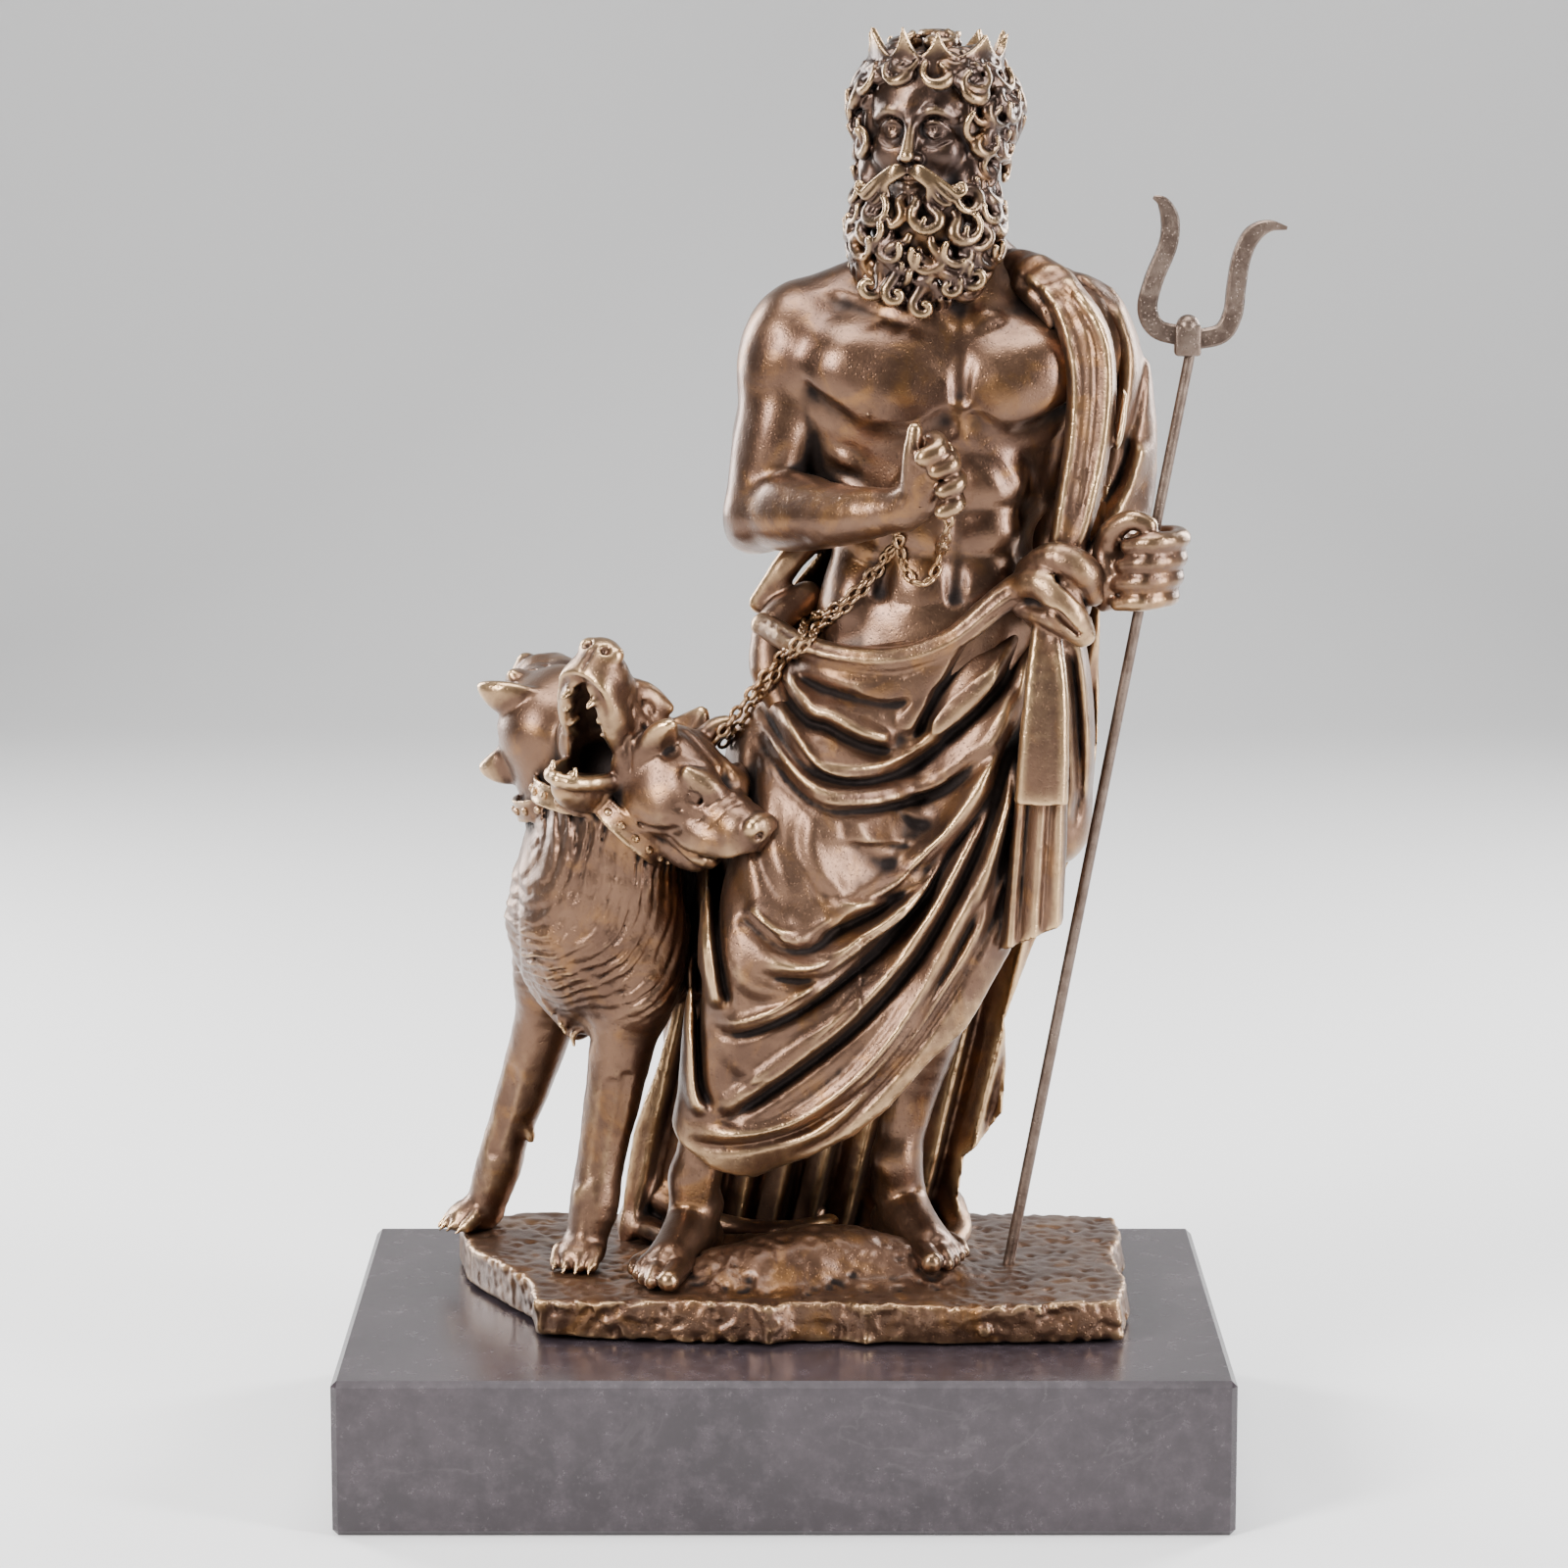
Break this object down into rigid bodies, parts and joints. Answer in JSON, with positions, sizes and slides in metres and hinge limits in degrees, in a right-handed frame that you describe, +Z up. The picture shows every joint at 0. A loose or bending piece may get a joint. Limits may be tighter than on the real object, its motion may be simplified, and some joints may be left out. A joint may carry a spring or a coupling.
{
  "type": "hades statue",
  "caption": "Standing bearded god in a draped robe with a three-headed dog on a chain and a two-pronged spear, cast on a rocky base and set on a rectangular marble plinth.",
  "frame": {"origin": "centre of the plinth's underside, the face it stands on", "axes": "+Z up, -Y towards the viewer who looks at the god's front, +X to that viewer's right"},
  "size_m": [0.2385, 0.152, 0.371],
  "materials": {
    "marble": "polished dark grey-brown marble",
    "bronze": "brown patina over bronze, rubbed bright on the ridges",
    "grey_bronze": "greyer, finely pitted bronze"
  },
  "bodies": {
    "root": {"marble_plinth": "marble", "bronze_group": "bronze", "bident": "grey_bronze"}
  },
  "joints": []
}
